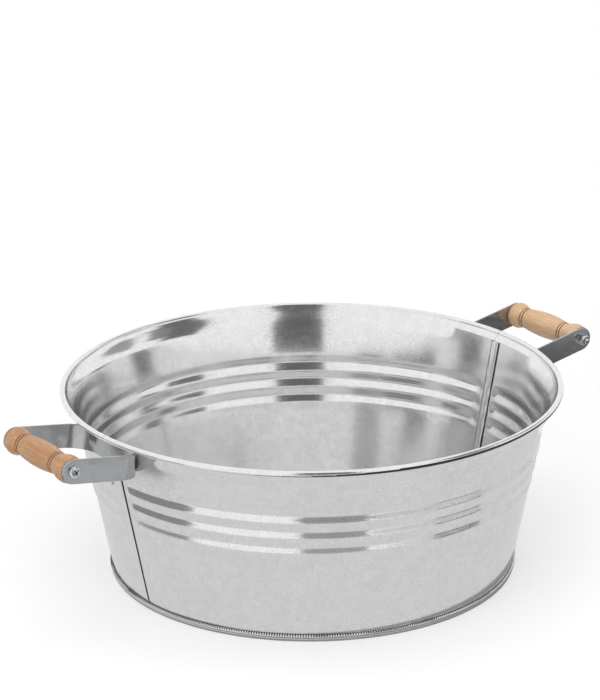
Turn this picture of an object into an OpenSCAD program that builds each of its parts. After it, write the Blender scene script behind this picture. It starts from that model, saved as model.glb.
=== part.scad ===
// Galvanised wash tub with two turned beech grips.
// The origin is the middle of the ring that it stands on; the handles lie on +X and -X.

/* [Tub] */
// Radius over the rolled rim
rim_r = 250; // [170:1:320]
// Height from the ground to the top of the rolled rim
tub_h = 191.5; // [150:0.5:280]
// How far the wall's outside lies in from the rolled rim, at the ground
foot_in = 48.4; // [25:0.1:80]
// Thickness of the galvanised sheet
sheet = 0.7; // [0.5:0.05:1]
// Air between sheet layers that are folded over each other
lap_gap = 0.05; // [0.03:0.01:0.08]

/* [Rolled rim] */
// Diameter of the steel wire inside the rim
wire_d = 4.2; // [3:0.1:6]
// Air between the wire and the sheet rolled round it
wire_gap = 0.1; // [0.05:0.01:0.2]
// How far the roll stands out from the straight wall, at the height of the wire
neck_out = 9.5; // [7:0.1:14]
// Radius of the two bends of the neck, where the wall steps out under the roll
neck_r = 2.2; // [1.5:0.1:3]
// Lean of the sheet between those two bends
neck_lean = 60; // [45:1:70]
// How far the sheet is rolled round the wire, in degrees past the top
roll_turn = 215; // [180:5:225]

/* [Ribs] */
// Number of swaged ribs round the wall
ribs = 3; // [1:1:4]
// Height of one rib along the tub's axis
rib_pitch = 17; // [12:0.5:19]
// How far a rib stands out of the wall
rib_out = 1.3; // [0.5:0.1:2.5]
// Distance from the top of the rim down to the upper rib
rib_drop = 52.1; // [46:0.1:60]

/* [Seams] */
// Height of the double seam that joins the floor to the wall
foot_h = 7.2; // [6:0.1:10]
// Height of the floor's underside
floor_z = 6; // [3.5:0.1:6.2]
// Width of the lock seam that joins the two halves of the wall
lock_w = 8; // [6:0.5:12]
// Distance from the handle plane to the middle of the lock seam
lock_y = 2; // [0:0.5:4]
// Distance between a lock seam's folds and the floor seam or the neck
lock_end = 1; // [0.5:0.1:3]

/* [Handle brackets] */
// Width of the steel strap
strap_w = 24; // [18:0.5:26]
// Thickness of the steel strap
strap_t = 2; // [1.5:0.1:3]
// Distance over the two arms of a bracket
arms_w = 107.8; // [90:0.1:130]
// Distance from the rolled rim out to the axis of a grip
grip_out = 60.5; // [50:0.5:80]
// Angle at which the arms rise outwards
arm_tilt = 9.8; // [4:0.1:12]
// Bend radius along the upper edge of the strap
bend_top = 14; // [10:0.5:18]
// Bend radius along the lower edge of the strap
bend_low = 24; // [18:0.5:28]
// Distance from the neck down to the strap
strap_drop = 1; // [0.5:0.1:6]
// How far an arm climbs between the wall and its straight stretch
arm_climb = 4; // [2:0.1:4.5]
// Air between the strap and the wall that it is welded to
weld_gap = 0.05; // [0.03:0.01:0.1]

/* [Turned grips] */
// Largest diameter of the knob at each end
knob_d = 27; // [22:0.5:32]
// Largest diameter of the barrel
barrel_d = 26; // [22:0.5:32]
// How much thinner the neck between knob and barrel is than the knob
neck_in = 5.4; // [3:0.1:8]
// How much smaller the flat end faces are than the knob
end_in = 4; // [1:0.5:6]
// Distance from the back face to the middle of its pair of grooves
knob_back = 19; // [14:0.5:24]
// Distance from the front face to the middle of its pair of grooves
knob_front = 24.5; // [16:0.5:28]
// Width of one turned groove
groove_w = 1.4; // [1:0.1:2]
// Depth of a turned groove
groove_deep = 0.7; // [0.4:0.1:1.2]
// Distance between the two grooves of a pair
groove_gap = 3.6; // [2.6:0.1:5]
// Air between a grip's end face and the strap
end_play = 0.3; // [0.2:0.05:0.6]
// Running clearance of the grip on its screw, on the radius
screw_play = 0.08; // [0.05:0.01:0.1]

/* [Screws and lock nuts] */
// Diameter of the screw's shank
screw_d = 6; // [5:0.5:7]
// Diameter of the pan head
head_d = 12; // [10:0.5:15]
// Height of the pan head
head_h = 4.4; // [3:0.1:5.5]
// Span of the cross recess
cross_w = 6.2; // [4:0.1:7.5]
// Width of one slot of the cross recess
cross_slot = 1.2; // [0.8:0.1:1.6]
// Depth of the cross recess
cross_deep = 2.4; // [1.5:0.1:2.6]
// Width of the lock nut across its flats
nut_af = 10; // [9.5:0.5:13]
// Height of the nut's hexagon
nut_h = 5; // [4:0.1:6.5]
// Outer diameter of the collar on the nut
collar_d = 9.4; // [9:0.1:9.5]
// Height of the collar on the nut
collar_h = 2.4; // [2:0.1:3.5]
// Wall of the collar round its nylon ring
collar_wall = 0.6; // [0.4:0.1:0.8]
// How far the nylon ring lies below the collar's edge
ring_sunk = 0.5; // [0.2:0.1:1]
// How far the screw stands out of the nut
screw_end = 1.2; // [0.5:0.1:3]
// Clearance of a fixed piece on the shank, on the radius
seat_gap = 0.05; // [0.03:0.01:0.1]

/* [Hidden] */

ZINC = "#B9BDBF";
STEEL = "#8F9396";
BRIGHT = "#C9CCCE";
BEECH = "#CFA67C";
NYLON = "#3A3F45";

// Driving radii and heights that follow from the rim
foot_r = rim_r - foot_in;
top_r = rim_r - neck_out;
rib_top = tub_h - rib_drop;
grip_x = rim_r + grip_out;

// Rolled rim: radius of the roll, and the place of the wire's middle
roll_r = wire_d / 2 + wire_gap + sheet;
roll_x = rim_r - roll_r;
roll_z = tub_h - roll_r;
roll_mid = roll_r - sheet / 2;

// The wall is a cone: its lean, and its outer radius at a height
flare = atan((top_r - foot_r) / roll_z);
function wall_r(z) = foot_r + z * tan(flare);

// Thickness of the sheet and pitch of folded layers, measured level across the leaning wall
sheet_x = sheet / cos(flare);
layer_x = (sheet + lap_gap) / cos(flare);

// Neck: the wall bends outwards, runs straight and bends upright again beside the wire
upper_x = roll_x - roll_mid - neck_r;
neck_step = (upper_x - wall_r(roll_z) + sheet_x / 2) * cos(flare);
neck_run = (neck_step + 2 * neck_r * cos(neck_lean - flare) - neck_r) / sin(neck_lean - flare);
lower_x = upper_x + 2 * neck_r * cos(neck_lean) - neck_run * sin(neck_lean);
lower_z = roll_z - 2 * neck_r * sin(neck_lean) - neck_run * cos(neck_lean);
neck_z = lower_z + neck_r * sin(flare);

// The lock seams are folded to the inside, from just above the floor to just below the neck
lock_z0 = max(foot_h, floor_z + sheet) + lock_end;
lock_z1 = neck_z - lock_end;
hook_gap = 2 * sheet;

// Crevices of the lock seams outside: left_gap in front of the left handle's middle and
// right_gap behind the right one's
left_gap = lock_w / 2 + lock_y;
right_gap = lock_w / 2 - lock_y;

// How far the stretches of one folded sheet run into each other
bite = sheet / 2;

// Straps: the arms' middle, the strap's edges on the wall, and the line of the arms
arm_y = (arms_w - strap_t) / 2;
seat_top = neck_z - strap_drop;
seat_low = seat_top - strap_w * cos(flare);
half_rise = strap_w / 2 / cos(arm_tilt);
straight_x = bend_x(seat_top, bend_top);
function arm_z(x) = seat_top + arm_climb - half_rise + (x - straight_x) * tan(arm_tilt);
grip_z = arm_z(grip_x);

// Grip and screw
grip_len = arms_w - 2 * strap_t - 2 * end_play;
collar_bore = collar_d - 2 * collar_wall;
screw_len = arms_w + nut_h + collar_h + screw_end;

// A rib's outline, as shares of rib_out at each quarter of its height
rib_shape = [0, 0.62, 1, 0.62];

// Sheet outline: points on the middle of the sheet, each with its outward normal
function wall_point(z, out = 0) =
    [wall_r(z) - sheet_x / 2 + out * cos(flare), z - out * sin(flare), cos(flare), -sin(flare)];
function inner_arc(x, z, r, a) = [x + r * cos(a), z + r * sin(a), -cos(a), -sin(a)];
function outer_arc(x, z, r, a) = [x + r * cos(a), z + r * sin(a), cos(a), sin(a)];
function rib_points() = [for (i = [0:4 * ribs])
    wall_point(rib_top - (ribs - i / 4) * rib_pitch, rib_out * rib_shape[i % 4])];
function neck_points(n = 5) = concat(
    [for (i = [0:n]) inner_arc(lower_x, lower_z, neck_r,
        180 - flare - (neck_lean - flare) * i / n)],
    [for (i = [0:n]) outer_arc(upper_x, roll_z, neck_r, -neck_lean * (1 - i / n))]);
function roll_points(n = 20) =
    [for (i = [1:n]) inner_arc(roll_x, roll_z, roll_mid, 180 - (90 + roll_turn) * i / n)];

// A sheet drawn along points, with half its thickness on either side
module sheet_along(p) {
    polygon(concat(
        [for (q = p) [q[0] + q[2] * sheet / 2, q[1] + q[3] * sheet / 2]],
        [for (i = [len(p) - 1:-1:0])
            [p[i][0] - p[i][2] * sheet / 2, p[i][1] - p[i][3] * sheet / 2]]));
}

// A band beside the wall from z0 to z1: it covers folded layers k0 to k1, counted
// outwards, and the wall itself is layer 0. swell makes it thicker on both sides.
module band(k0, k1, z0, z1, swell = 0) {
    inner = k0 * layer_x - sheet_x - swell;
    outer = k1 * layer_x + swell;
    polygon([
        [wall_r(z0) + inner, z0], [wall_r(z0) + outer, z0],
        [wall_r(z1) + outer, z1], [wall_r(z1) + inner, z1]
    ]);
}

// Section of a wall half: the hem in the floor's seam, the ribs, the neck and the roll
hem_z = 1.6 * sheet;
module wall_section() {
    sheet_along(concat([wall_point(hem_z)], rib_points(), neck_points(), roll_points()));
    band(0, 2, hem_z, hem_z + sheet);
    band(2, 2, hem_z, foot_h - 2 * sheet);
}

// Angle round the tub of a distance y along the wall
function turn(y) = y / wall_r(roll_z / 2) * 180 / PI;

// A stretch of lock seam from y0 to y1 that covers layers k0 to k1, counted inwards. A
// bend swells a little past the layers that it joins.
module lock_band(k0, k1, y0, y1, swell = 0) {
    rotate([0, 0, turn(y0)])
        rotate_extrude(angle = turn(y1 - y0), $fn = 180)
            band(-k1, -k0, lock_z0 - swell, lock_z1 + swell, swell);
}
module lock_bend(k0, k1, y) {
    lock_band(k0, k1, y, y + sheet, lap_gap / 3);
}

// In a lock seam's own frame y runs from the crevice, at -lock_w / 2, to the fold. One sheet
// steps in behind the other there and hooks round its edge. Each step starts inside its own
// sheet, at half a layer.
module tucked_edge() {
    lock_bend(0.5, 3, -lock_w / 2 - lap_gap - sheet);
    lock_band(3, 3, -lock_w / 2 - lap_gap - bite, lock_w / 2 - bite);
    lock_bend(1, 3, lock_w / 2 - sheet);
    lock_band(1, 1, -lock_w / 2 + hook_gap, lock_w / 2 - bite);
}

// The other sheet runs on to the crevice and hooks back between the first one's layers
module covering_edge() {
    lock_bend(0.5, 2, -lock_w / 2 + 2 * lap_gap);
    lock_band(2, 2, -lock_w / 2 + 2 * lap_gap + bite, lock_w / 2 - hook_gap);
}

// Both halves are folded alike, so one seam is the other one turned round. Both lie lock_y
// in front of the handles.
module on_left_seam() {
    mirror([1, 0, 0]) rotate([0, 0, -turn(lock_y)]) children();
}
module on_right_seam() {
    rotate([0, 0, -turn(lock_y)]) mirror([0, 1, 0]) children();
}

// A wall half that runs anticlockwise from its tucked edge, at angle a0, to its covering
// edge, at angle a1
module wall_half(a0, a1) {
    rotate([0, 0, a0]) rotate_extrude(angle = a1 - a0, $fn = 180) wall_section();
}

module wall_front() {
    color(ZINC) {
        wall_half(180 + turn(left_gap), 360 + turn(right_gap - lap_gap));
        on_left_seam() tucked_edge();
        on_right_seam() covering_edge();
    }
}

module wall_back() {
    color(ZINC) {
        wall_half(turn(right_gap), 180 + turn(left_gap - lap_gap));
        on_right_seam() tucked_edge();
        on_left_seam() covering_edge();
    }
}

module rim_wire() {
    color(STEEL) translate([0, 0, roll_z])
        rotate_extrude($fn = 180) translate([roll_x, 0]) circle(d = wire_d, $fn = 32);
}

// The floor is let in above the ground, and its edge is folded over the wall's hem
module floor_pan() {
    color(ZINC) rotate_extrude($fn = 180) {
        translate([0, floor_z]) square([wall_r(floor_z) - 1.5 * layer_x, sheet]);
        band(-1, -1, 0, floor_z + sheet);
        band(-1, 3, 0, sheet);
        band(3, 3, 0, foot_h);
        band(1, 3, foot_h - sheet, foot_h);
        band(1, 1, hem_z + 2 * sheet, foot_h);
    }
}

// Strap bracket. Each edge of the strap runs along the wall, round a bend and out along
// the arm. z is the edge's height on the wall and r the radius of its bend.
function seat_r(z) = wall_r(z) + weld_gap + strap_t / 2;
function seat_turn(z, r) = asin((arm_y - r) / (seat_r(z) + r));
function bend_x(z, r) = (seat_r(z) + r) * cos(seat_turn(z, r));
function seat_len(z, r) = seat_r(z) * seat_turn(z, r) * PI / 180;
function bend_len(z, r) = r * (90 + seat_turn(z, r)) * PI / 180;

// Plan of an edge at s along it, moved by out across the strap
function edge_on_wall(z, s, out) = let (a = s / seat_r(z) * 180 / PI)
    [(seat_r(z) - out) * cos(a), -(seat_r(z) - out) * sin(a)];
function edge_on_bend(z, r, s, out) = let (a = 180 - seat_turn(z, r) + s / r * 180 / PI)
    [bend_x(z, r) + (r + out) * cos(a), r - arm_y + (r + out) * sin(a)];
function edge_plan(z, r, s, out) = s < seat_len(z, r)
    ? edge_on_wall(z, s, out)
    : edge_on_bend(z, r, s - seat_len(z, r), out);

// Height of an edge at s: level on the wall, then easing into the arm's slope at z1
function edge_rise(z, r, s, z1) =
    let (u = max(0, (s - seat_len(z, r)) / bend_len(z, r)))
    z + (z1 - z) * (3 * u * u - 2 * u * u * u)
        + tan(arm_tilt) * bend_len(z, r) * (u * u * u - u * u);
function edge_point(z, r, z1, f, out) =
    let (s = f * (seat_len(z, r) + bend_len(z, r)))
    concat(edge_plan(z, r, s, out), edge_rise(z, r, s, z1));

// Four corners of the strap at a share f of the way from the seat's middle to an arm
function strap_ring(f) = let (
        z_top = arm_z(bend_x(seat_top, bend_top)) + half_rise,
        z_low = arm_z(bend_x(seat_low, bend_low)) - half_rise)
    [
        edge_point(seat_top, bend_top, z_top, f, strap_t / 2),
        edge_point(seat_top, bend_top, z_top, f, -strap_t / 2),
        edge_point(seat_low, bend_low, z_low, f, -strap_t / 2),
        edge_point(seat_low, bend_low, z_low, f, strap_t / 2)
    ];

// The same four corners round an arm's rounded end, at angle a of its arc
function arm_point(a, side, y) = [
    grip_x + strap_w / 2 * (sin(a) * cos(arm_tilt) - side * cos(a) * sin(arm_tilt)),
    y,
    grip_z + strap_w / 2 * (sin(a) * sin(arm_tilt) + side * cos(a) * cos(arm_tilt))
];
function end_ring(a) = [
    arm_point(a, 1, -arm_y - strap_t / 2), arm_point(a, 1, -arm_y + strap_t / 2),
    arm_point(a, -1, -arm_y + strap_t / 2), arm_point(a, -1, -arm_y - strap_t / 2)
];

function half_strap() = concat(
    [for (k = [1:36]) strap_ring(k / 36)],
    [for (a = [0:9:81]) end_ring(a)]);
function across(ring) = [for (p = ring) [p[0], -p[1], p[2]]];

module strap() {
    half = half_strap();
    rings = concat([for (i = [len(half) - 1:-1:0]) across(half[i])], [strap_ring(0)], half);
    last = 4 * (len(rings) - 1);
    polyhedron(
        points = [for (ring = rings, p = ring) p],
        faces = concat(
            [for (i = [0:len(rings) - 2], j = [0:3]) let (a = 4 * i + j, b = 4 * i + (j + 1) % 4)
                each [[a, b, a + 4], [b, b + 4, a + 4]]],
            [[0, 3, 2, 1], [last, last + 1, last + 2, last + 3]]));
}

// Places its children on the axis of the right grip; z runs along the axis, toward +Y
module on_grip_axis(y = 0) {
    translate([grip_x, y, grip_z]) rotate([-90, 0, 0]) children();
}

module bracket() {
    color(STEEL) difference() {
        strap();
        on_grip_axis()
            cylinder(d = screw_d + 2 * seat_gap, h = 2 * arms_w, center = true, $fn = 48);
    }
}

// Turned outline of the grip, from its front face to its back face
grip_neck_r = (knob_d - neck_in) / 2;
end_phase = 180 - asin((neck_in - end_in) / neck_in);
groove_half = (groove_gap + groove_w) / 2;
front_groove = knob_front;
back_groove = grip_len - knob_back;
function knob_r(u) = grip_neck_r + neck_in / 2 * sin(end_phase * pow(1 - u, 1.4));
function barrel_r(v) = grip_neck_r + (barrel_d / 2 - grip_neck_r) * pow(sin(180 * v), 0.8);
function groove_pair(s) = [for (side = [-1, 1], k = [0:4])
    [grip_neck_r - groove_deep * sin(45 * k),
        s + side * groove_gap / 2 + groove_w * (k / 4 - 0.5)]];
function grip_outline(n = 16) =
    let (front = front_groove - groove_half, back = back_groove + groove_half,
        barrel_0 = front_groove + groove_half, barrel_1 = back_groove - groove_half)
    concat(
        [for (i = [0:n - 1]) [knob_r(i / n), front * i / n]],
        groove_pair(front_groove),
        [for (i = [1:n - 1]) [barrel_r(i / n), barrel_0 + (barrel_1 - barrel_0) * i / n]],
        groove_pair(back_groove),
        [for (i = [n - 1:-1:0]) [knob_r(i / n), grip_len - (grip_len - back) * i / n]]);

module grip() {
    bore = screw_d / 2 + screw_play;
    color(BEECH) on_grip_axis(-grip_len / 2)
        rotate_extrude($fn = 96)
            polygon(concat([[bore, 0]], grip_outline(), [[bore, grip_len]]));
}

// Pan-head screw, from its head at the back arm to its end at the front arm
module screw() {
    round = 0.55 * head_h;
    crown = 0.1 * head_h;
    bevel = 0.12 * screw_d;
    color(BRIGHT) on_grip_axis(arms_w / 2) {
        difference() {
            rotate_extrude($fn = 64) polygon(concat(
                [[0, 0], [head_d / 2, 0]],
                [for (a = [0:10:90]) [head_d / 2 - round + round * cos(a),
                    head_h - crown - round + round * sin(a)]],
                [[0, head_h]]));
            cross_recess();
        }
        rotate_extrude($fn = 64) polygon([
            [0, 0], [screw_d / 2, 0], [screw_d / 2, bevel - screw_len],
            [screw_d / 2 - bevel, -screw_len], [0, -screw_len]]);
    }
}

module cross_recess() {
    translate([0, 0, head_h - cross_deep]) intersection() {
        cylinder(h = cross_deep + 1, d1 = cross_w / 2, d2 = cross_w * 1.2, $fn = 48);
        for (a = [30, 120]) rotate([0, 0, a])
            translate([-cross_w / 2, -cross_slot / 2, 0])
                cube([cross_w, cross_slot, cross_deep + 1]);
    }
}

// Lock nut: a hexagon with bevelled corners and a collar that holds the nylon ring
module lock_nut() {
    corner_d = nut_af / cos(30);
    bore = screw_d + 2 * seat_gap;
    color(BRIGHT) on_grip_axis(-arms_w / 2) mirror([0, 0, 1]) difference() {
        union() {
            intersection() {
                cylinder(d = corner_d, h = nut_h, $fn = 6);
                cylinder(d1 = corner_d + 2 * nut_h, d2 = nut_af, h = nut_h, $fn = 64);
            }
            cylinder(d = collar_d, h = nut_h + collar_h, $fn = 64);
        }
        translate([0, 0, -1]) cylinder(d = bore, h = nut_h + collar_h + 2, $fn = 48);
        translate([0, 0, nut_h]) cylinder(d = collar_bore, h = collar_h + 1, $fn = 64);
    }
}

module nut_ring() {
    color(NYLON) on_grip_axis(-arms_w / 2 - nut_h - seat_gap) mirror([0, 0, 1]) difference() {
        cylinder(d = collar_bore - 2 * seat_gap, h = collar_h - ring_sunk, $fn = 64);
        translate([0, 0, -1])
            cylinder(d = screw_d + 2 * seat_gap, h = collar_h + 2, $fn = 48);
    }
}

// The left handle is the right one turned half round, but its grip keeps its ends
module left() {
    rotate([0, 0, 180]) children();
}

wall_front();
wall_back();
rim_wire();
floor_pan();
left() bracket();  // bracket_left
bracket();  // bracket_right
mirror([1, 0, 0]) grip();  // grip_left
grip();  // grip_right
left() screw();  // screw_left
screw();  // screw_right
left() lock_nut();  // lock_nut_left
lock_nut();  // lock_nut_right
left() nut_ring();  // nut_ring_left
nut_ring();  // nut_ring_right
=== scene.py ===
import math

import bpy
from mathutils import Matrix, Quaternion, Vector, noise


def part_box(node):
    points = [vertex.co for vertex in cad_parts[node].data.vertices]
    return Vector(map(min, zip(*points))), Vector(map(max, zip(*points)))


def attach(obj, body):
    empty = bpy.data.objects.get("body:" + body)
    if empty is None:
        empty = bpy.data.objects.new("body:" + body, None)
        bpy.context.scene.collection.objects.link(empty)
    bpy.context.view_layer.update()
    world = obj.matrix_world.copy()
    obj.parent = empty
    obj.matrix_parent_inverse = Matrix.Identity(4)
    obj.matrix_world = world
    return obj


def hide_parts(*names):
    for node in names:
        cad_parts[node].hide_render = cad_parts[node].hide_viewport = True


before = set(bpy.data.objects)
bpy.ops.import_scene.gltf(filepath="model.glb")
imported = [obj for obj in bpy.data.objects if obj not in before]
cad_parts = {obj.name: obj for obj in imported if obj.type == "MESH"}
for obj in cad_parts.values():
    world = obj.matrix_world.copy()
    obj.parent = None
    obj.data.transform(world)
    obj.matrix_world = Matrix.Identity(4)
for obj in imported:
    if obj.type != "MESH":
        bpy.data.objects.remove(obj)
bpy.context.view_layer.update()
scene = bpy.context.scene
scene.view_settings.view_transform = "Standard"


# The camera stands to the left of the tub's front and looks down by 20 degrees, at the middle
# of the rim, through a long lens. The shift only frames the picture.
view_azimuth = math.radians(-36.2)
view_elevation = math.radians(19.755)
view_roll = math.radians(-0.412)
view_target = Vector((0, 0, 0.1886))
view_distance = 2.75
focal_px = 2762.33
picture_height_px = 700

towards_camera = Vector((
    math.sin(view_azimuth) * math.cos(view_elevation),
    -math.cos(view_azimuth) * math.cos(view_elevation),
    math.sin(view_elevation)))
bpy.ops.object.select_all(action="DESELECT")
bpy.ops.object.camera_add(location=view_target + towards_camera * view_distance)
camera = bpy.context.object
camera.name = "camera"
camera.rotation_mode = "QUATERNION"
camera.rotation_quaternion = (
    towards_camera.to_track_quat("Z", "Y") @ Quaternion((0, 0, 1), view_roll))
camera.data.sensor_fit = "VERTICAL"
camera.data.sensor_height = 36
camera.data.lens = focal_px / picture_height_px * camera.data.sensor_height
camera.data.shift_x = -0.0164
camera.data.shift_y = 0.0465
scene.camera = camera


# The studio is a pale matt floor in a white surround. Both show white to the camera and in
# the metal, and light the rest softly. The floor keeps the shadow under the tub, and away
# from the tub it runs into the white of the surround.
def srgb(code):
    """Linear colour of an sRGB hex value."""
    parts = [int(code[i:i + 2], 16) / 255 for i in (1, 3, 5)]
    return [p / 12.92 if p <= 0.04045 else ((p + 0.055) / 1.055) ** 2.4 for p in parts] + [1]


def add_node(tree, kind, inputs, **settings):
    """Adds a node. inputs gives a value or another node's output for each socket."""
    node = tree.nodes.new(kind)
    for key, value in settings.items():
        setattr(node, key, value)
    for key, value in inputs.items():
        if isinstance(value, bpy.types.NodeSocket):
            tree.links.new(value, node.inputs[key])
        else:
            node.inputs[key].default_value = value
    return node


def seen_or_mirrored(tree):
    """An output that is 1 for rays from the camera and in metal or glass, and 0 for others."""
    path = add_node(tree, "ShaderNodeLightPath", {})
    shown = add_node(tree, "ShaderNodeMath", {
        0: path.outputs["Is Camera Ray"],
        1: path.outputs["Is Glossy Ray"]}, operation="ADD")
    either = add_node(tree, "ShaderNodeMath", {
        0: shown.outputs[0],
        1: path.outputs["Is Transmission Ray"]}, operation="ADD", use_clamp=True)
    return either.outputs[0]


surround_fill = 0.45
surround = bpy.data.worlds.new("white_surround")
scene.world = surround
surround.use_nodes = True
surround.node_tree.nodes.clear()
surround_strength = add_node(surround.node_tree, "ShaderNodeMapRange", {
    "Value": seen_or_mirrored(surround.node_tree), "To Min": surround_fill, "To Max": 1.0})
surround_light = add_node(surround.node_tree, "ShaderNodeBackground", {
    "Color": srgb("#FFFFFF"), "Strength": surround_strength.outputs[0]})
add_node(surround.node_tree, "ShaderNodeOutputWorld", {
    "Surface": surround_light.outputs[0]})


def new_material(name):
    """A material whose nodes are still to be added."""
    material = bpy.data.materials.new(name)
    material.use_nodes = True
    material.node_tree.nodes.clear()
    return material


floor_size = 14
floor_glow = 0.36
pale_floor_r = 0.42
white_floor_r = 0.85

bpy.ops.object.select_all(action="DESELECT")
bpy.ops.mesh.primitive_plane_add(size=floor_size)
floor = bpy.context.object
floor.name = "studio_floor"
floor_paint = new_material("matt_white_floor_paint")
paint_tree = floor_paint.node_tree
matt = add_node(paint_tree, "ShaderNodeBsdfDiffuse", {"Color": srgb("#E4E4E4")})
floor_seen = seen_or_mirrored(paint_tree)
glow_strength = add_node(paint_tree, "ShaderNodeMath", {
    0: floor_seen, 1: floor_glow}, operation="MULTIPLY")
glow = add_node(paint_tree, "ShaderNodeEmission", {
    "Color": srgb("#FFFFFF"), "Strength": glow_strength.outputs[0]})
near_floor = add_node(paint_tree, "ShaderNodeAddShader", {
    0: matt.outputs[0], 1: glow.outputs[0]})
far_floor = add_node(paint_tree, "ShaderNodeEmission", {"Color": srgb("#FFFFFF")})
floor_place = add_node(paint_tree, "ShaderNodeTexCoord", {}).outputs["Object"]
from_tub = add_node(paint_tree, "ShaderNodeVectorMath", {0: floor_place}, operation="LENGTH")
far_share = add_node(paint_tree, "ShaderNodeMapRange", {
    "Value": from_tub.outputs["Value"], "From Min": pale_floor_r, "From Max": white_floor_r},
    interpolation_type="SMOOTHSTEP")
white_share = add_node(paint_tree, "ShaderNodeMath", {
    0: far_share.outputs[0], 1: floor_seen}, operation="MULTIPLY")
floor_mix = add_node(paint_tree, "ShaderNodeMixShader", {
    0: white_share.outputs[0], 1: near_floor.outputs[0], 2: far_floor.outputs[0]})
add_node(paint_tree, "ShaderNodeOutputMaterial", {"Surface": floor_mix.outputs[0]})
floor.data.materials.append(floor_paint)


def softbox(name, place, width, height, radiance):
    """A softbox that faces the tub, width by height metres, as bright as radiance. The camera
    and the metal don't see it, so the metal mirrors the white surround in its place."""
    bpy.ops.object.select_all(action="DESELECT")
    bpy.ops.object.light_add(type="AREA", location=place)
    lamp = bpy.context.object
    lamp.name = name
    lamp.rotation_euler = (Vector(place) - view_target).to_track_quat("Z", "Y").to_euler()
    lamp.data.shape = "RECTANGLE"
    lamp.data.size = width
    lamp.data.size_y = height
    lamp.data.energy = radiance * math.pi * width * height
    lamp.visible_camera = False
    lamp.visible_glossy = False


softbox("overhead_softbox", (0, 0, 2.3), 2.4, 2.4, 1.25)
softbox("left_softbox", (-2.3, -0.85, 1.15), 2.4, 2.2, 1.06)
softbox("front_softbox", (0.1, -2.4, 1.15), 1.5, 2.2, 1.1)


def card(name, azimuth, distance, z, width, height, tilt, tone):
    """A card that only the metal mirrors, width by height metres. Its middle is at an azimuth
    from the front, in degrees, at a distance from the tub's axis and at a height z, which
    also says which of two cards on the floor covers the other. A tilt of 0 lies flat and one
    of 90 stands. A tone of 1 is white."""
    turn = math.radians(azimuth)
    bpy.ops.object.select_all(action="DESELECT")
    bpy.ops.mesh.primitive_plane_add(
        size=1, location=(distance * math.sin(turn), -distance * math.cos(turn), z),
        rotation=(math.radians(tilt), 0, turn))
    piece = bpy.context.object
    piece.name = name
    piece.scale = (width, height, 1)
    piece.visible_camera = False
    piece.visible_diffuse = False
    piece.visible_shadow = False
    paper = new_material(name + "_paper")
    shine = add_node(paper.node_tree, "ShaderNodeEmission", {
        "Color": srgb("#FFFFFF"), "Strength": tone})
    add_node(paper.node_tree, "ShaderNodeOutputMaterial", {"Surface": shine.outputs[0]})
    piece.data.materials.append(paper)


# Cards round the tub, as in a product studio: a tall dark one at the camera makes the dark
# band in the far wall, and those at the right make the dark patches beside its rim. Those on
# the floor make the dark and grey edges of the near wall's ribs, roll and floor seam.
card("dark_card_at_camera", -29.7, 2.2, 2.0, 1.04, 4.05, 90, 0.08)
card("dark_card_right_high", 37, 2.2, 1.77, 0.86, 2.07, 90, 0.1)
card("dark_card_right_top", 54, 2.2, 2.28, 0.46, 2.05, 90, 0.2)
card("grey_card_right", 84, 2.2, 2.12, 1.1, 2.36, 90, 0.3)
# A grey card under the tub stands for the tub's shadow on the floor round it, a painted shade that
# only the metal mirrors.
card("shadow_card_under_tub", 0, 0, 0.0005, 0.86, 0.86, 0, 0.7)
card("dark_card_left", -101, 0.56, 0.001, 0.36, 0.32, 0, 0.22)
card("white_card_left", -61, 0.56, 0.002, 0.33, 0.32, 0, 1.0)
card("grey_card_front", -28, 0.475, 0.002, 0.2, 0.11, 0, 0.32)
card("dark_strip_front", 24, 0.418, 0.0014, 0.17, 0.03, 0, 0.08)
card("grey_card_front_right", 10, 0.49, 0.0012, 0.38, 0.11, 0, 0.66)
for azimuth, distance in ((-26, 0.65), (2, 0.7), (30, 0.65), (54, 0.72), (84, 0.6), (114, 0.6)):
    card("dark_card_on_floor", azimuth, distance, 0.001, 0.34, 0.3, 0, 0.08)


# A round card under the tub, a little to its front right, stands for the deepest shadow.
contact_r = 0.2105
contact_shift = 0.003
contact_z = 0.0008
card("contact_card", 0, 0, contact_z, 1, 1, 0, 0.26)
bpy.ops.object.mode_set(mode="EDIT")
bpy.ops.mesh.select_all(action="SELECT")
bpy.ops.mesh.delete(type="VERT")
bpy.ops.mesh.primitive_circle_add(vertices=96, radius=contact_r, fill_type="NGON",
                                  location=(contact_shift, -contact_shift, contact_z))
bpy.ops.object.mode_set(mode="OBJECT")


# Wall of the tub: two half sheets of galvanised steel, 0.7 mm thick, rolled to a cone. Each
# is swaged with ribs and curled over a wire at the rim. Their edges are hooked into each
# other at the handles and pressed flat, as lock seams that stand out inside.
rim_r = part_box("wall_back")[1].y
tub_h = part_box("wall_back")[1].z
sheet = 0.0007
lap_gap = 0.00005
foot_in = 0.0484
neck_out = 0.0095
wire_r = 0.0021
wire_gap = 0.0001
roll_turn = 215
neck_r = 0.0022
neck_lean = math.radians(60)
foot_h = 0.0072
ribs = 3
rib_pitch = 0.017
rib_out = 0.0013
rib_drop = 0.0521
lock_w = 0.008
lock_y = 0.002
lock_end = 0.001

# From these come the roll's middle, the cone's slope and the width of a layer of the folds.
foot_r = rim_r - foot_in
top_r = rim_r - neck_out
rib_top = tub_h - rib_drop
roll_r = wire_r + wire_gap + sheet
roll_x = rim_r - roll_r
roll_z = tub_h - roll_r
roll_mid = roll_r - sheet / 2
flare = math.atan((top_r - foot_r) / roll_z)
sheet_x = sheet / math.cos(flare)
layer_x = (sheet + lap_gap) / math.cos(flare)


def layer_r(z, layer=0):
    """Radius of the middle of the wall's sheet at a height, or of a layer folded outwards."""
    return foot_r + z * math.tan(flare) - sheet_x / 2 + layer * layer_x


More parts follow.
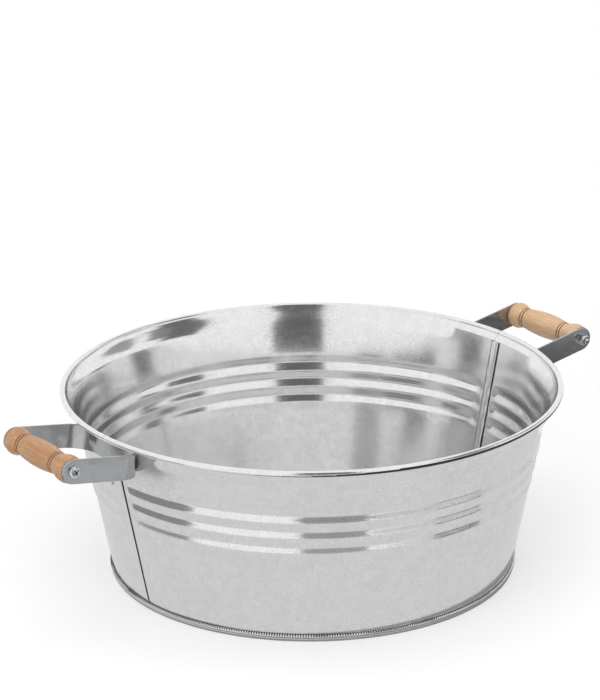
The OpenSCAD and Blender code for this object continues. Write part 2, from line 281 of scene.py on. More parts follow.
# The neck leans out from the cone, in a bend at each end, and meets the roll's inner side.
upper_x = roll_x - roll_mid - neck_r
neck_step = (upper_x - layer_r(roll_z)) * math.cos(flare)
neck_run = ((neck_step + 2 * neck_r * math.cos(neck_lean - flare) - neck_r)
            / math.sin(neck_lean - flare))
lower_x = upper_x + 2 * neck_r * math.cos(neck_lean) - neck_run * math.sin(neck_lean)
lower_z = roll_z - 2 * neck_r * math.sin(neck_lean) - neck_run * math.cos(neck_lean)
neck_z = lower_z + neck_r * math.sin(flare)
lock_z0 = foot_h + lock_end
lock_z1 = neck_z - lock_end
hem_bottom = 1.6 * sheet
hem_z = hem_bottom + sheet / 2 + layer_x


def arc(x, z, r, start, stop, steps):
    """Points on an arc in the plane of a section, from a start to a stop in degrees."""
    turns = [math.radians(start + (stop - start) * i / steps) for i in range(steps + 1)]
    return [(x + r * math.cos(a), z + r * math.sin(a)) for a in turns]


def between(start, stop, steps):
    """Evenly spaced values after start, up to and with stop."""
    return [start + (stop - start) * i / steps for i in range(1, steps + 1)]


def draw_section(name, points):
    """A new piece, a line through points of the XZ plane, drawn by extruding one vertex. It
    is left in edit mode."""
    bpy.ops.object.select_all(action="DESELECT")
    bpy.ops.mesh.primitive_plane_add(size=0.01)
    piece = bpy.context.object
    piece.name = name
    bpy.ops.object.mode_set(mode="EDIT")
    bpy.ops.mesh.select_mode(type="VERT")
    bpy.ops.mesh.select_all(action="SELECT")
    bpy.ops.mesh.merge(type="CENTER")
    bpy.ops.transform.translate(value=(points[0][0], 0, points[0][1]))
    for (x0, z0), (x1, z1) in zip(points, points[1:]):
        bpy.ops.mesh.extrude_region_move(
            TRANSFORM_OT_translate={"value": (x1 - x0, 0, z1 - z0)})
    return piece


def turned_sheet(name, section, start, stop, steps, doublings=0):
    """A section turned about the tub's axis from a start to a stop. It is spun in steps over a
    stretch, and each doubling lays a copy of what is there beside it."""
    piece = draw_section(name, section)
    stretch = (stop - start) / 2 ** doublings
    bpy.ops.mesh.select_all(action="SELECT")
    bpy.ops.transform.rotate(value=-start, orient_axis="Z", center_override=(0, 0, 0))
    bpy.ops.mesh.spin(steps=steps, angle=-stretch, center=(0, 0, 0), axis=(0, 0, 1))
    for i in range(doublings):
        bpy.ops.mesh.select_all(action="SELECT")
        bpy.ops.mesh.duplicate()
        bpy.ops.transform.rotate(value=-stretch * 2 ** i, orient_axis="Z",
                                 center_override=(0, 0, 0))
    bpy.ops.mesh.select_all(action="DESELECT")
    bpy.ops.object.mode_set(mode="OBJECT")
    return piece


def join_pieces(pieces):
    """Joins pieces into the first of them."""
    bpy.ops.object.select_all(action="DESELECT")
    for piece in pieces:
        piece.select_set(True)
    bpy.context.view_layer.objects.active = pieces[0]
    bpy.ops.object.join()


def wall_turn(y):
    """Angle round the tub of a distance y along the wall, at half its height."""
    return y / (foot_r + roll_z / 2 * math.tan(flare))


rib_low = rib_top - ribs * rib_pitch
rib_rows = 24
hem_end = foot_h - 2.5 * sheet
lock_rows = ([lock_z0] + between(lock_z0, rib_low, 8)
             + between(rib_low, rib_top, rib_rows * ribs) + between(rib_top, lock_z1, 14))

# Section of a wall half, from the hem in the floor's seam up to the end of the roll
wall_section = (
    [(layer_r(hem_end, 2), hem_end)]
    + arc(layer_r(hem_z, 1), hem_z, layer_x, 0, -180, 6)
    + [(layer_r(z), z) for z in lock_rows]
    + arc(lower_x, lower_z, neck_r, 180 - math.degrees(flare), 180 - math.degrees(neck_lean), 6)
    + arc(upper_x, roll_z, neck_r, -math.degrees(neck_lean), 0, 6)
    + arc(roll_x, roll_z, roll_mid, 180, 90 - roll_turn, 28)[1:])

# Plans of the folds: s runs from the crevice to the fold, and t is the depth inside the wall.
# The tucked edge drops by three layers in a joggle and turns back under the covering edge.
joggle_start = -0.0034
joggle_bend = -0.0026
joggle_stop = -0.0004
joggle_steps = 8
bend_r = layer_x
bend_out = bend_r + sheet / 2
tucked_plan = (
    [(joggle_start, 0)]
    + [(joggle_bend + (joggle_stop - joggle_bend) * i / joggle_steps,
        3 * layer_x * (1 - math.cos(math.pi * i / joggle_steps)) / 2)
       for i in range(joggle_steps + 1)]
    + [(s, 3 * layer_x) for s in between(joggle_stop, lock_w - bend_out, 3)]
    + arc(lock_w - bend_out, 2 * layer_x, bend_r, 90, -90, 8)[1:]
    + [(2.5 * sheet, layer_x)])
covering_plan = (
    arc(bend_out, layer_x, bend_r, -90, -270, 8)
    + [(lock_w - bend_out - 1.5 * sheet, 2 * layer_x)])
butt_gap = 0.0002


def add_folds(piece, edge, plan):
    """Lays a plan of folds on the cone at the angle of an edge, in rows up the lock seam, and
    joins them to a piece."""
    corners = []
    for s, t in plan:
        a = edge - wall_turn(s)
        corners += [((layer_r(z) - t) * math.cos(a), (layer_r(z) - t) * math.sin(a), z)
                    for z in lock_rows]
    rows = len(lock_rows)
    faces = [(i, i + 1, i + 1 + rows, i + rows)
             for c in range(len(plan) - 1) for i in range(c * rows, c * rows + rows - 1)]
    mesh = bpy.data.meshes.new("folds")
    mesh.from_pydata(corners, [], faces)
    folds = bpy.data.objects.new("folds", mesh)
    scene.collection.objects.link(folds)
    join_pieces([piece, folds])


def turn_to(edge, point):
    """Angle from a point round the tub to that of an edge, the shorter way. It is positive
    where the way goes anticlockwise."""
    return (edge - math.atan2(point.y, point.x) + math.pi) % (2 * math.pi) - math.pi


tucked_reach = 0.003
covering_reach = lock_w + 0.001


def seam_distance(point, tucked_edge, covering_edge):
    """How far a point lies from its nearer lock seam's folds, along the wall."""
    radius = math.hypot(point.x, point.y)
    return min(abs(turn_to(tucked_edge, point)) * radius - tucked_reach,
               abs(turn_to(covering_edge, point)) * radius - covering_reach)


def smooth_step(x):
    """Eases from 0 to 1 as x goes from 0 to 1, and stays at either beyond them."""
    x = min(1, max(0, x))
    return x * x * (3 - 2 * x)


crease = 0.85


def rib_height(z):
    """Share of a rib's full height: a zigzag with one crest in each pitch. A crease near 0
    makes it a soft wave, and one of 1 makes it sharp."""
    phase = (z - rib_low) / rib_pitch
    if not 0 <= phase <= ribs:
        return 0
    return 0.5 - math.asin(crease * math.cos(2 * math.pi * phase)) / (2 * math.asin(crease))


# The ribs die out before the lock seams. Away from the handles the sheet flares softly up to
# the roll and is drawn in a little at the ribs. Along the straps it keeps straight.
rib_fade = 0.011
strap_reach = 0.052
neck_fade = 0.02
bow_fade = 0.06
bow_depth = 0.002
bow_skew = 1.6
soft_neck_h = 0.0165
soft_neck_z = roll_z - soft_neck_h
wave_size = 0.045
wave_height = 0.00012


def soft_neck_r(z):
    """Radius of the middle of the sheet where it flares softly up to the roll."""
    step = roll_x - roll_mid - layer_r(roll_z)
    return layer_r(z) + step * smooth_step((z - soft_neck_z) / (roll_z - soft_neck_z))


def press_wall(piece, tucked_edge, covering_edge):
    """Swages the ribs, flares the neck, draws the wall in and leaves it slightly wavy."""
    for v in piece.data.vertices:
        z = v.co.z
        radius = math.hypot(v.co.x, v.co.y)
        if not lock_z0 < z < roll_z or radius > roll_x - roll_mid + lap_gap:
            continue
        along = seam_distance(v.co, tucked_edge, covering_edge)
        out = Vector((v.co.x, v.co.y, 0)) / radius
        soft = smooth_step((along - strap_reach) / neck_fade) if z > soft_neck_z else 0
        drawn = smooth_step((along - strap_reach) / bow_fade)
        rise = (z - foot_h) / (roll_z - foot_h)
        v.co += out * (soft * (soft_neck_r(z) - radius)
                       - drawn * bow_depth * math.sin(math.pi * rise ** bow_skew))
        if z < neck_z:
            out *= math.cos(flare)
            out.z = -math.sin(flare)
            v.co += out * (rib_out * rib_height(z) * smooth_step(along / rib_fade)
                           + wave_height * noise.noise(v.co / wave_size))


# The painted shade under the curl of the rim reaches from a lowest angle up to a thin edge, in
# degrees round the curl, and further up by a rise at its middle round the tub.
curl_shade_middle = math.radians(-35)
curl_shade_spread = 0.9
curl_shade_low = -125
curl_shade_thin = -60
curl_shade_rise = 82
fold_depths = (0.4, 2.1)
bend_depths = (0.25, 1.8)


def mark_dark_places(piece, tucked_edge, covering_edge):
    """Second material, painted shade, in the crevices of the lock seams, and third material,
    painted shade, under the curl of the rim, reaching furthest up on one side of the tub.
    Depths inside the wall are in layers."""
    for polygon in piece.data.polygons:
        x, y, z = polygon.center
        radius = math.hypot(x, y)
        round_curl = math.degrees(math.atan2(z - roll_z, radius - roll_x))
        curl_shaded = smooth_step(0.5 + curl_shade_spread * math.cos(turn_to(curl_shade_middle, polygon.center)))
        if (z > neck_z and radius > upper_x
                and curl_shade_low < round_curl < curl_shade_thin + curl_shaded * curl_shade_rise):
            polygon.material_index = 2
            continue
        past_tucked = turn_to(tucked_edge, polygon.center) / wall_turn(1)
        past_covering = turn_to(covering_edge, polygon.center) / wall_turn(1)
        depth = (layer_r(z) - radius) / layer_x
        joggle = joggle_start < past_tucked < 0
        fold_edge = (lock_w - bend_out < past_tucked < lock_w + sheet
                     and fold_depths[0] < depth < fold_depths[1])
        covering_bend = (0 < past_covering < bend_out
                         and bend_depths[0] < depth < bend_depths[1])
        polygon.material_index = int(
            lock_z0 < z < lock_z1 and (joggle or fold_edge or covering_bend))


merge_distance = 0.000005
sheet_crease = math.radians(30)


def finish_sheet(piece):
    """Gives a folded sheet its thickness, half to each side, and smooth shading."""
    bpy.ops.object.select_all(action="DESELECT")
    piece.select_set(True)
    bpy.context.view_layer.objects.active = piece
    bpy.ops.object.mode_set(mode="EDIT")
    bpy.ops.mesh.select_all(action="SELECT")
    bpy.ops.mesh.remove_doubles(threshold=merge_distance)
    bpy.ops.mesh.normals_make_consistent(inside=False)
    bpy.ops.object.mode_set(mode="OBJECT")
    thickness = piece.modifiers.new("thickness", "SOLIDIFY")
    thickness.thickness = sheet
    thickness.offset = 0
    thickness.use_even_offset = True
    bpy.ops.object.modifier_apply(modifier=thickness.name)
    bpy.ops.object.shade_smooth_by_angle(angle=sheet_crease)


def wall_half(name, tucked_edge, covering_edge):
    """Half a wall, anticlockwise from the angle of its tucked edge to that of its covering
    edge. The sheet is turned in stretches with their steps and doublings, and where the lock
    seams are it gives way to the folds."""
    tucked_start = tucked_edge - wall_turn(joggle_start)
    covering_stop = covering_edge - wall_turn(bend_out)
    flat_stop = covering_edge - wall_turn(1.5 * lock_w)
    butt_start = tucked_edge + wall_turn(butt_gap)
    butt_stop = covering_edge - wall_turn(butt_gap)
    stretches = ((butt_start, tucked_start, 1, 0), (tucked_start, flat_stop, 29, 3),
                 (flat_stop, covering_stop, 12, 0), (covering_stop, butt_stop, 1, 0))
    pieces = [turned_sheet(name, wall_section, *stretch) for stretch in stretches]
    join_pieces(pieces)
    piece = pieces[0]
    for polygon in piece.data.polygons:
        a = math.atan2(polygon.center.y, polygon.center.x) % (2 * math.pi)
        past_start = (a - butt_start) % (2 * math.pi)
        to_stop = (butt_stop - a) % (2 * math.pi)
        in_folds = (past_start < tucked_start - butt_start
                    or min(past_start, to_stop) < wall_turn(bend_out - butt_gap))
        polygon.select = in_folds and lock_z0 < polygon.center.z < lock_z1
    bpy.ops.object.mode_set(mode="EDIT")
    bpy.ops.mesh.select_mode(type="FACE")
    bpy.ops.mesh.delete(type="FACE")
    bpy.ops.object.mode_set(mode="OBJECT")
    add_folds(piece, tucked_edge, tucked_plan)
    add_folds(piece, covering_edge, covering_plan)
    mark_dark_places(piece, tucked_edge, covering_edge)
    press_wall(piece, tucked_edge, covering_edge)
    finish_sheet(piece)
    return piece


# The middle of each lock seam lies a little in front of the line through both handles
right_crevice = wall_turn(lock_w / 2 - lock_y)
left_crevice = math.pi + wall_turn(lock_w / 2 + lock_y)
wall_back = wall_half("wall_back_sheet", right_crevice, left_crevice)
wall_front = wall_half("wall_front_sheet", left_crevice, right_crevice + 2 * math.pi)


# Hot-dip galvanised sheet steel, rolled smooth: a bright zinc coat that mirrors softly. It
# has a faint cloudy spangle, and rough specks that break up the edges of what it mirrors. The
# specks are drawn coarser than real ones, which are too fine to show.
cloud_size = 0.03


def galvanised(name, colour, shade, roughness, spangle_size, speck_size, speck_height):
    """Zinc coat of a colour, with darker spangles of a shade. Its roughness goes from the
    first to the second of two values with the specks."""
    coat = new_material(name)
    tree = coat.node_tree
    place = add_node(tree, "ShaderNodeTexCoord", {}).outputs["Object"]
    spangle = add_node(tree, "ShaderNodeTexVoronoi", {
        "Vector": place, "Scale": 1 / spangle_size, "Randomness": 1.0})
    cloud = add_node(tree, "ShaderNodeTexNoise", {
        "Vector": place, "Scale": 1 / cloud_size, "Detail": 3.0, "Roughness": 0.6})
    speck = add_node(tree, "ShaderNodeTexNoise", {
        "Vector": place, "Scale": 1 / speck_size, "Detail": 3.0, "Roughness": 0.65})
    spangle_tone = add_node(tree, "ShaderNodeSeparateColor", {0: spangle.outputs["Color"]})
    clouded = add_node(tree, "ShaderNodeMath", {
        0: spangle_tone.outputs[0], 1: cloud.outputs[0]}, operation="MULTIPLY")
    speck_tone = add_node(tree, "ShaderNodeMapRange", {
        "Value": speck.outputs[0], "From Min": 0.4, "From Max": 0.65})
    tone = add_node(tree, "ShaderNodeMath", {
        0: clouded.outputs[0], 1: speck_tone.outputs[0]}, operation="ADD")
    mix = add_node(tree, "ShaderNodeMix", {
        0: tone.outputs[0], 6: srgb(colour), 7: srgb(shade)}, data_type="RGBA")
    rough = add_node(tree, "ShaderNodeMapRange", {
        "Value": speck.outputs[0], "From Min": 0.38, "From Max": 0.66,
        "To Min": roughness[0], "To Max": roughness[1]})
    bump = add_node(tree, "ShaderNodeBump", {
        "Height": speck.outputs[0], "Strength": 1.0, "Distance": speck_height})
    metal = add_node(tree, "ShaderNodeBsdfPrincipled", {
        "Base Color": mix.outputs[2], "Metallic": 0.92, "Roughness": rough.outputs[0],
        "Normal": bump.outputs[0]})
    add_node(tree, "ShaderNodeOutputMaterial", {"Surface": metal.outputs[0]})
    return coat


zinc_sheet = galvanised("hot_dip_galvanised_sheet", "#F2F2F2", "#E4E4E4", (0.08, 0.21),
                        0.007, 0.0013, 0.000017)


# Painted shade in the crevices of the seams and in the recesses of the screws: dark grey,
# dull and a little blotchy, like zinc oxide. A darker zinc paints the shade under the curl of
# the rim, also darkens one flank of each crimp, and keeps some of its grain.
blotch_size = 0.006


def painted_shade_coat(name, colour, shade):
    """Dull, oxide-like coat of a colour for painted shade, with blotches of a shade."""
    crust = new_material(name)
    tree = crust.node_tree
    place = add_node(tree, "ShaderNodeTexCoord", {}).outputs["Object"]
    blotch = add_node(tree, "ShaderNodeTexNoise", {
        "Vector": place, "Scale": 1 / blotch_size, "Detail": 4.0, "Roughness": 0.6})
    mix = add_node(tree, "ShaderNodeMix", {
        0: blotch.outputs[0], 6: srgb(colour), 7: srgb(shade)}, data_type="RGBA")
    surface = add_node(tree, "ShaderNodeBsdfPrincipled", {
        "Base Color": mix.outputs[2], "Metallic": 0.6, "Roughness": 0.55})
    add_node(tree, "ShaderNodeOutputMaterial", {"Surface": surface.outputs[0]})
    return crust


crevice_shade = painted_shade_coat("painted_crevice_shade", "#2A2B2C", "#4A4B4C")
curl_shade_and_dark_crimps = galvanised("painted_curl_shade_and_dark_crimps", "#474747", "#373737", (0.25, 0.4),
                            0.005, 0.0014, 0.00001)
sheet_and_painted_shades = (zinc_sheet, crevice_shade, curl_shade_and_dark_crimps)


def place_piece(piece, body, materials, node):
    """Gives a finished piece its materials, its body and the node it stands for."""
    if piece.data.materials:
        piece.data.materials.clear()
    for material in materials:
        piece.data.materials.append(material)
    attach(piece, body)
    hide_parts(node)


place_piece(wall_back, "tub", sheet_and_painted_shades, "wall_back")
place_piece(wall_front, "tub", sheet_and_painted_shades, "wall_front")


# Floor of the tub: one galvanised disc, let in above the ground. Its edge runs down inside
# the wall, out under it and up round the wall's hem as a double seam, pressed by a knurled
# seaming roller that leaves fine crimps along the seam's upper edge.
floor_z = 0.006
floor_mid = floor_z + sheet / 2
web_mid = sheet / 2
corner_r = 0.001
top_corner_z = floor_mid - corner_r
low_corner_z = web_mid + corner_r
lip_z = foot_h - bend_out
bead_out = 0.0003


def beads(start, stop, steps):
    """Outside of the seam between two heights: two shallow beads that the roller leaves."""
    rows = between(start, stop, steps)[:-1]
    waves = [abs(math.sin(2 * math.pi * (z - start) / (stop - start))) for z in rows]
    return [(layer_r(z, 3) + bead_out * wave, z) for z, wave in zip(rows, waves)]


# Section of the floor, from its middle out to the end of the fold over the wall's hem
pan_section = (
    [(0, floor_mid), (0.08, floor_mid), (0.16, floor_mid)]
    + arc(layer_r(top_corner_z, -1) - corner_r, top_corner_z, corner_r, 90, 0, 4)
    + arc(layer_r(low_corner_z, -1) + corner_r, low_corner_z, corner_r, 180, 270, 4)
    + arc(layer_r(low_corner_z, 3) - corner_r, low_corner_z, corner_r, -90, 0, 4)
    + beads(low_corner_z, lip_z, 8)
    + arc(layer_r(lip_z, 2), lip_z, bend_r, 0, 180, 8)
    + [(layer_r(hem_z + sheet, 1), hem_z + sheet)])

crimp_pitch = 0.0025
crimp_height = 0.0004
crimp_least = 0.35
crimp_patch = 0.03
dirt_patch = 0.02
dirt_level = 0.12
pan_doublings = 4
pan_copies = 2 ** pan_doublings
crimps = pan_copies * round(2 * math.pi * layer_r(foot_h, 3) / crimp_pitch / pan_copies)

# The pan has two columns of points for each crimp, of which one stands out
pan = turned_sheet("floor_pan_sheet", pan_section, 0, 2 * math.pi,
                   2 * crimps // pan_copies, pan_doublings)
bpy.ops.object.mode_set(mode="EDIT")
bpy.ops.mesh.select_all(action="SELECT")
bpy.ops.mesh.remove_doubles(threshold=merge_distance)
bpy.ops.object.mode_set(mode="OBJECT")
crimp_turn = math.pi / crimps

# Only the outer fold and the top of the lip are crimped, and more in some places than others
for v in pan.data.vertices:
    radius = math.hypot(v.co.x, v.co.y)
    over_lip = (v.co.z - lip_z) / bend_r
    column = round(math.atan2(v.co.y, v.co.x) / crimp_turn)
    if column % 2 == 0 or over_lip < -0.5 or radius < layer_r(v.co.z, 1.4):
        continue
    evenness = smooth_step(0.5 + 2 * noise.noise(v.co / crimp_patch))
    ridge = crimp_height * (crimp_least + (1 - crimp_least) * evenness)
    widening = 1 + ridge * (1 - abs(over_lip) / 2) / radius
    v.co.x *= widening
    v.co.y *= widening
    v.co.z += ridge * max(0, over_lip)

# Painted shade darkens the underside and the crevice beside the wall. One flank of each crimp is
# darker, and dirt darkens some of the crimps more.
for polygon in pan.data.polygons:
    x, y, z = polygon.center
    layers_out = (math.hypot(x, y) - layer_r(z)) / layer_x
    crevice = layers_out > 0.5 and (z < 0.3 * corner_r or layers_out < 1.5)
    crimped = (math.floor(math.atan2(y, x) / crimp_turn) % 2 and z > lip_z
               and layers_out > 1.5)
    dirty = crimped and noise.noise(polygon.center / dirt_patch) > dirt_level
    polygon.material_index = 1 if crevice or dirty else 2 if crimped else 0
finish_sheet(pan)
place_piece(pan, "tub", sheet_and_painted_shades, "floor_pan")


# Rim wire: one ring of drawn steel wire, 4.2 mm thick, that stiffens the rim. The edge of the
# sheet is curled round it and hides it. It is dark and slightly rough.
rim_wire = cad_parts["rim_wire"]
drawn_steel = galvanised("drawn_steel_wire", "#8A8C8E", "#77797B", (0.35, 0.45), 0.01,
                         0.0006, 0.00001)
rim_wire.data.materials.clear()
rim_wire.data.materials.append(drawn_steel)


# Handle brackets: 24 by 2 mm galvanised strap steel, bent to a U and spot welded to the wall.
# The mill-rolled strap is smoother and darker than the sheet, and its edges are eased.
flat_angle = math.radians(0.5)
sharp_edge = math.radians(35)
smooth_angle = math.radians(40)


def edged_copy(name, node, edge_r):
    """A copy of a CAD node's mesh with its triangles merged and its sharp edges rounded."""
    piece = bpy.data.objects.new(name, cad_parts[node].data.copy())
    scene.collection.objects.link(piece)
    bpy.ops.object.select_all(action="DESELECT")
    piece.select_set(True)
    bpy.context.view_layer.objects.active = piece
    bpy.ops.object.mode_set(mode="EDIT")
    bpy.ops.mesh.select_all(action="SELECT")
    bpy.ops.mesh.remove_doubles(threshold=merge_distance)
    bpy.ops.mesh.dissolve_limited(angle_limit=flat_angle)
    bpy.ops.object.mode_set(mode="OBJECT")
    edges = piece.modifiers.new("edges", "BEVEL")
    edges.width = edge_r
    edges.segments = 3
    edges.limit_method = "ANGLE"
    edges.angle_limit = sharp_edge
    bpy.ops.object.modifier_apply(modifier=edges.name)
    bpy.ops.object.shade_smooth_by_angle(angle=smooth_angle)
    return piece


zinc_strap = galvanised("galvanised_strap_steel", "#C0C1C2", "#ACAEB0", (0.14, 0.24),
                        0.009, 0.001, 0.000007)

# Weighted normals keep the flats of a strap even between their eased edges
for side in ("left", "right"):
    strap = edged_copy("strap_" + side, "bracket_" + side, 0.0003)
    flats = strap.modifiers.new("flats", "WEIGHTED_NORMAL")
    flats.keep_sharp = True
    bpy.ops.object.modifier_apply(modifier=flats.name)
    place_piece(strap, "tub", [zinc_strap], "bracket_" + side)


# Grips: beech, turned with a knob at each end, a barrel and two pairs of burnt grooves, then
# sanded and clear lacquered. The longer knob of both points to the front. They come from
# different planks, so that the right one is paler and the left one redder.
grip_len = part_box("grip_right")[1].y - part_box("grip_right")[0].y
grip_x = (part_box("grip_right")[0].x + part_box("grip_right")[1].x) / 2
grip_z = (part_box("grip_right")[0].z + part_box("grip_right")[1].z) / 2
knob_d = 0.027
barrel_d = 0.026
neck_in = 0.0054
end_in = 0.004
knob_front = 0.0245
knob_back = 0.019
groove_w = 0.0014
groove_deep = 0.0007
groove_gap = 0.0036
bore_r = 0.00308
grip_neck_r = (knob_d - neck_in) / 2
end_phase = math.pi - math.asin((neck_in - end_in) / neck_in)
groove_half = (groove_gap + groove_w) / 2
knob_skew = 1.4
barrel_fullness = 0.8
knob_steps = 28
barrel_steps = 32
groove_steps = 6
turning_steps = 96
groove_crease = math.radians(50)


def knob_r(u):
    """Radius of a knob from its end face, at 0, to its grooves, at 1."""
    return grip_neck_r + neck_in / 2 * math.sin(end_phase * (1 - u) ** knob_skew)


def barrel_r(v):
    """Radius of the barrel from one end, at 0, to the other, at 1."""
    return grip_neck_r + (barrel_d / 2 - grip_neck_r) * math.sin(math.pi * v) ** barrel_fullness


def groove_points(middle):
    """A pair of turned grooves."""
    return [(middle + side * groove_gap / 2 + groove_w * (k / groove_steps - 0.5),
             grip_neck_r - groove_deep * math.sin(math.pi * k / groove_steps))
            for side in (-1, 1) for k in range(groove_steps + 1)]


front_stop = knob_front - groove_half
back_stop = knob_back - groove_half
barrel_start = knob_front + groove_half
barrel_stop = grip_len - knob_back - groove_half

# Outline of a grip, from its front end to its back end
grip_section = (
    [(front_stop * i / knob_steps, knob_r(i / knob_steps)) for i in range(knob_steps)]
    + groove_points(knob_front)
    + [(barrel_start + (barrel_stop - barrel_start) * i / barrel_steps,
        barrel_r(i / barrel_steps)) for i in range(1, barrel_steps)]
    + groove_points(grip_len - knob_back)
    + [(grip_len - back_stop * i / knob_steps, knob_r(i / knob_steps))
       for i in reversed(range(knob_steps))])


def turned_grip(node, side, wood, burnt):
    """Turns the grip's outline about its screw. side is 1 for the right handle and -1 for the
    left one."""
    points = [(0, bore_r)] + grip_section + [(grip_len, bore_r), (0, bore_r)]
    piece = draw_section(node + "_turned", [(side * (grip_x + r), grip_z) for s, r in points])
    bpy.ops.object.mode_set(mode="OBJECT")
    for v, (s, r) in zip(piece.data.vertices, points):
        v.co.y = s - grip_len / 2
    bpy.ops.object.mode_set(mode="EDIT")
    bpy.ops.mesh.select_all(action="SELECT")
    bpy.ops.mesh.spin(steps=turning_steps, angle=2 * math.pi,
                      center=(side * grip_x, 0, grip_z), axis=(0, 1, 0))
    bpy.ops.mesh.select_all(action="SELECT")
    bpy.ops.mesh.remove_doubles(threshold=merge_distance)
    bpy.ops.mesh.normals_make_consistent(inside=False)
    bpy.ops.object.mode_set(mode="OBJECT")
    bpy.ops.object.shade_smooth_by_angle(angle=groove_crease)
    place_piece(piece, node, (wood, burnt), node)
    for polygon in piece.data.polygons:
        along = polygon.center.y + grip_len / 2
        for middle in (knob_front, grip_len - knob_back):
            if abs(abs(along - middle) - groove_gap / 2) < groove_w / 2:
                polygon.material_index = 1


fibre_w = 0.0011
ring_w = 0.006
fleck_w = 0.0009


def turned_beech(name, colour, grain_colour, fleck_colour, roughness):
    """Beech: straight fine grain along the grip, with short darker flecks in it. Fibres and
    flecks are drawn coarser than real ones, which are too fine to show."""
    wood = new_material(name)
    tree = wood.node_tree
    place = add_node(tree, "ShaderNodeTexCoord", {}).outputs["Object"]
    along_grain = add_node(tree, "ShaderNodeMapping", {
        "Vector": place, "Scale": (1, 0.07, 1), "Rotation": (0.03, 0.0, 0.04)})
    fibre = add_node(tree, "ShaderNodeTexNoise", {
        "Vector": along_grain.outputs[0], "Scale": 1 / fibre_w, "Detail": 4.0,
        "Roughness": 0.65})
    ring = add_node(tree, "ShaderNodeTexNoise", {
        "Vector": along_grain.outputs[0], "Scale": 1 / ring_w, "Detail": 2.0,
        "Roughness": 0.5, "Distortion": 0.4})
    fleck_place = add_node(tree, "ShaderNodeMapping", {
        "Vector": place, "Scale": (1, 0.2, 1), "Rotation": (0.0, 0.0, 0.05)})
    fleck = add_node(tree, "ShaderNodeTexVoronoi", {
        "Vector": fleck_place.outputs[0], "Scale": 1 / fleck_w, "Randomness": 1.0})
    fleck_share = add_node(tree, "ShaderNodeMapRange", {
        "Value": fleck.outputs["Distance"], "From Min": 0.12, "From Max": 0.3,
        "To Min": 0.55, "To Max": 0.0})
    fibre_share = add_node(tree, "ShaderNodeMapRange", {
        "Value": fibre.outputs[0], "From Min": 0.35, "From Max": 0.7})
    ring_share = add_node(tree, "ShaderNodeMapRange", {
        "Value": ring.outputs[0], "From Min": 0.4, "From Max": 0.65,
        "To Min": 0.0, "To Max": 0.7})
    streaks = add_node(tree, "ShaderNodeMix", {
        0: fibre_share.outputs[0], 6: srgb(colour), 7: srgb(grain_colour)},
        data_type="RGBA")
    rings = add_node(tree, "ShaderNodeMix", {
        0: ring_share.outputs[0], 6: streaks.outputs[2], 7: srgb(grain_colour)},
        data_type="RGBA")
    flecks = add_node(tree, "ShaderNodeMix", {
        0: fleck_share.outputs[0], 6: rings.outputs[2], 7: srgb(fleck_colour)},
        data_type="RGBA")
    bump = add_node(tree, "ShaderNodeBump", {
        "Height": fibre.outputs[0], "Strength": 0.5, "Distance": 0.00006})
    surface = add_node(tree, "ShaderNodeBsdfPrincipled", {
        "Base Color": flecks.outputs[2], "Roughness": roughness, "Coat Weight": 0.15,
        "Coat Roughness": 0.25, "Normal": bump.outputs[0]})
    add_node(tree, "ShaderNodeOutputMaterial", {"Surface": surface.outputs[0]})
    return wood


pale_beech = turned_beech("pale_lacquered_beech", "#F0CDA6", "#D6AA80", "#AE8058", 0.5)
red_beech = turned_beech("red_lacquered_beech", "#D9AD82", "#B48158", "#895B38", 0.5)
burnt_beech = turned_beech("burnt_groove_in_beech", "#7A4E30", "#6B4226", "#55331C", 0.6)
turned_grip("grip_right", 1, pale_beech, burnt_beech)
turned_grip("grip_left", -1, red_beech, burnt_beech)


# Screws, lock nuts and nylon rings: M6 fasteners of cold-formed steel with bright zinc
# plating, and a ring of dark moulded nylon in the collar of each nut. The screw runs through
# arm, grip and arm, and its nut holds it. Painted shade darkens the cross recess of its head.
haze_size = 0.002


def plated(name, colour, roughness):
    """Bright zinc plating: smooth, mirror-like and a little blue, with a faint haze."""
    coat = new_material(name)
    tree = coat.node_tree
    place = add_node(tree, "ShaderNodeTexCoord", {}).outputs["Object"]
    haze = add_node(tree, "ShaderNodeTexNoise", {
        "Vector": place, "Scale": 1 / haze_size, "Detail": 3.0})
    rough = add_node(tree, "ShaderNodeMapRange", {
        "Value": haze.outputs[0], "To Min": roughness[0], "To Max": roughness[1]})
    metal = add_node(tree, "ShaderNodeBsdfPrincipled", {
        "Base Color": srgb(colour), "Metallic": 1.0, "Roughness": rough.outputs[0]})
    add_node(tree, "ShaderNodeOutputMaterial", {"Surface": metal.outputs[0]})
    return coat


bright_zinc = plated("bright_zinc_plating", "#D2D5D8", (0.12, 0.24))
nylon_cloud_size = 0.003
nylon_grain_size = 0.0004


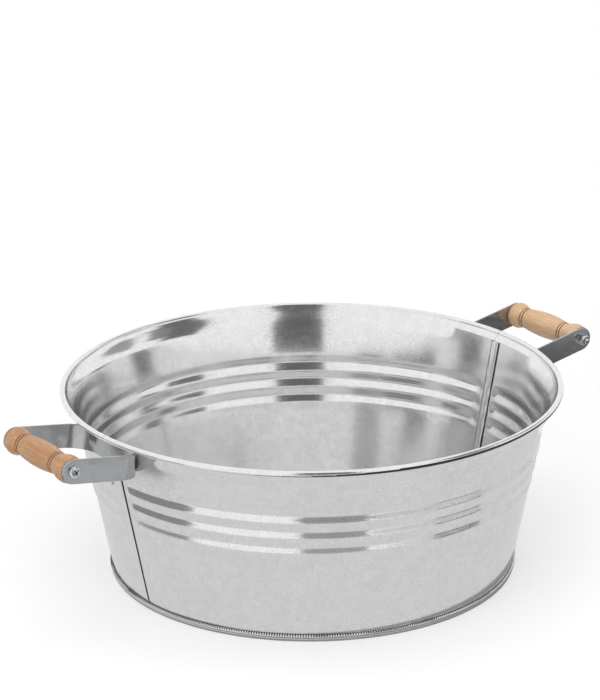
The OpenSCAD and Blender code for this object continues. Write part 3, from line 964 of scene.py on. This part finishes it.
def moulded_nylon(name, colour, shade):
    """Nylon from a mould: dark and a little cloudy, with a matt grain that is drawn coarser
    than a real one, which is too fine to show."""
    plastic = new_material(name)
    tree = plastic.node_tree
    place = add_node(tree, "ShaderNodeTexCoord", {}).outputs["Object"]
    cloud = add_node(tree, "ShaderNodeTexNoise", {
        "Vector": place, "Scale": 1 / nylon_cloud_size, "Detail": 2.0})
    grain = add_node(tree, "ShaderNodeTexNoise", {
        "Vector": place, "Scale": 1 / nylon_grain_size, "Detail": 2.0})
    mix = add_node(tree, "ShaderNodeMix", {
        0: cloud.outputs[0], 6: srgb(colour), 7: srgb(shade)}, data_type="RGBA")
    rough = add_node(tree, "ShaderNodeMapRange", {
        "Value": grain.outputs[0], "To Min": 0.35, "To Max": 0.6})
    bump = add_node(tree, "ShaderNodeBump", {
        "Height": grain.outputs[0], "Strength": 1.0, "Distance": 0.00001})
    surface = add_node(tree, "ShaderNodeBsdfPrincipled", {
        "Base Color": mix.outputs[2], "IOR": 1.53, "Roughness": rough.outputs[0],
        "Normal": bump.outputs[0]})
    add_node(tree, "ShaderNodeOutputMaterial", {"Surface": surface.outputs[0]})
    return plastic


nylon = moulded_nylon("dark_moulded_nylon", "#363B41", "#454A50")
head_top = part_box("screw_right")[1].y
recess_top = 0.0003
recess_bottom = 0.00252
recess_r = 0.0034
for side in ("left", "right"):
    screw = edged_copy("screw_" + side + "_plated", "screw_" + side, 0.00015)
    place_piece(screw, "tub", [bright_zinc, crevice_shade], "screw_" + side)
    # The cross recess of the head takes the dark crevice material, as painted shade.
    for polygon in screw.data.polygons:
        below_top = head_top - abs(polygon.center.y)
        off_axis = math.hypot(abs(polygon.center.x) - grip_x, polygon.center.z - grip_z)
        on_head_side = polygon.center.y * (1 if side == "right" else -1) > 0
        polygon.material_index = int(
            on_head_side and off_axis < recess_r and recess_top < below_top < recess_bottom)
    nut = edged_copy("lock_nut_" + side + "_plated", "lock_nut_" + side, 0.0002)
    place_piece(nut, "tub", [bright_zinc], "lock_nut_" + side)
    ring = edged_copy("nut_ring_" + side + "_nylon", "nut_ring_" + side, 0.0002)
    place_piece(ring, "tub", [nylon], "nut_ring_" + side)
